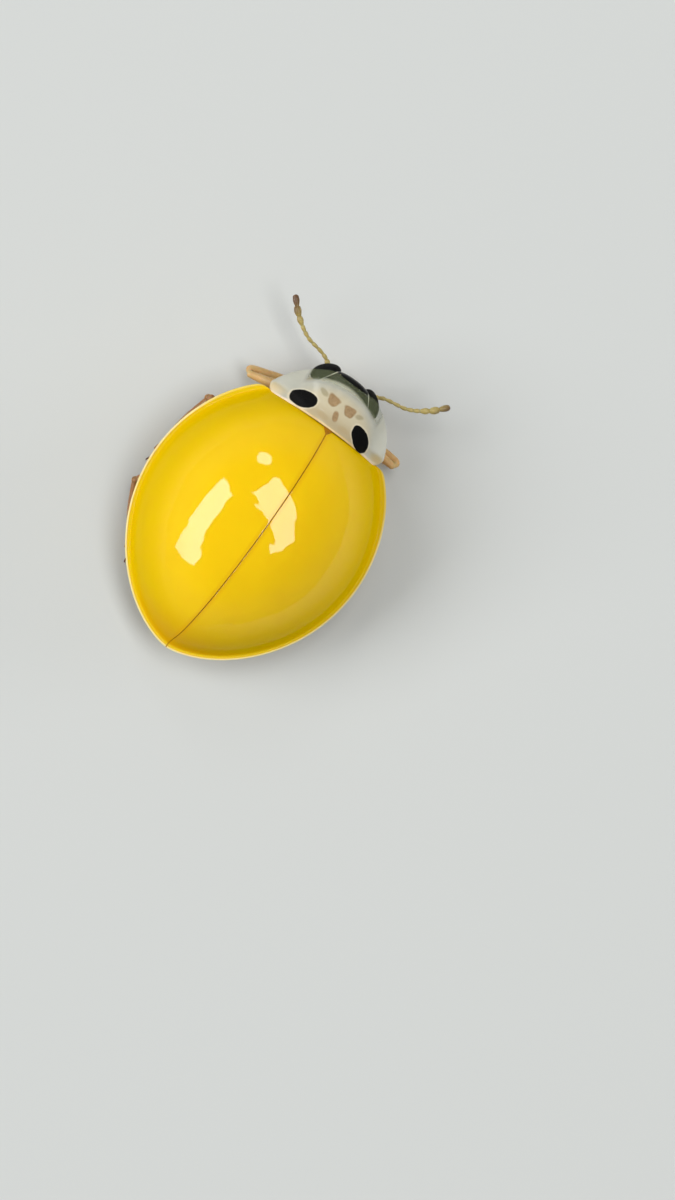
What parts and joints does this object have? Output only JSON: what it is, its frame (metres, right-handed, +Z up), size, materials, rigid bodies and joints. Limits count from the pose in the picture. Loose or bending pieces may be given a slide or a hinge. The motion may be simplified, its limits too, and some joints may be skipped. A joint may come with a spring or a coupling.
{
  "type": "ladybird",
  "caption": "Plain yellow mildew-eating ladybird, life size: a small domed beetle with glossy wing covers and a milky shield over its head, standing still as a display model.",
  "frame": {"origin": "middle of the animal's footprint box, on the floor its six feet stand on", "axes": "+Y forwards to the head, +X to the animal's right, +Z up"},
  "size_m": [0.0038, 0.0056, 0.0023],
  "materials": {
    "elytra": "glossy bright yellow shell with a paler, half clear rim",
    "scutellum": "glossy amber",
    "pronotum": "milky, half clear shell with two black spots",
    "face": "cream shell, satin, black on the crown",
    "eyes": "black, finely faceted, glossy",
    "antennae": "olive yellow, finely haired",
    "underside": "tan shell, satin, finely haired",
    "legs": "orange tan shell, satin, finely haired"
  },
  "bodies": {
    "root": {"scutellum": "scutellum", "elytron_left": "elytra", "elytron_right": "elytra", "thorax": "underside", "abdomen": "underside", "prothorax": "underside", "pronotum": "pronotum", "head": "face", "eye_left": "eyes", "eye_right": "eyes", "antenna_left": "antennae", "antenna_right": "antennae", "labrum": "face", "palp_left": "antennae", "palp_right": "antennae", "leg_front_left_coxa": "legs", "leg_front_left_femur": "legs", "leg_front_left_tibia": "legs", "leg_front_left_tarsus": "legs", "leg_front_right_coxa": "legs", "leg_front_right_femur": "legs", "leg_front_right_tibia": "legs", "leg_front_right_tarsus": "legs", "leg_middle_left_coxa": "legs", "leg_middle_left_femur": "legs", "leg_middle_left_tibia": "legs", "leg_middle_left_tarsus": "legs", "leg_middle_right_coxa": "legs", "leg_middle_right_femur": "legs", "leg_middle_right_tibia": "legs", "leg_middle_right_tarsus": "legs", "leg_hind_left_coxa": "legs", "leg_hind_left_femur": "legs", "leg_hind_left_tibia": "legs", "leg_hind_left_tarsus": "legs", "leg_hind_right_coxa": "legs", "leg_hind_right_femur": "legs", "leg_hind_right_tibia": "legs", "leg_hind_right_tarsus": "legs"}
  },
  "joints": []
}
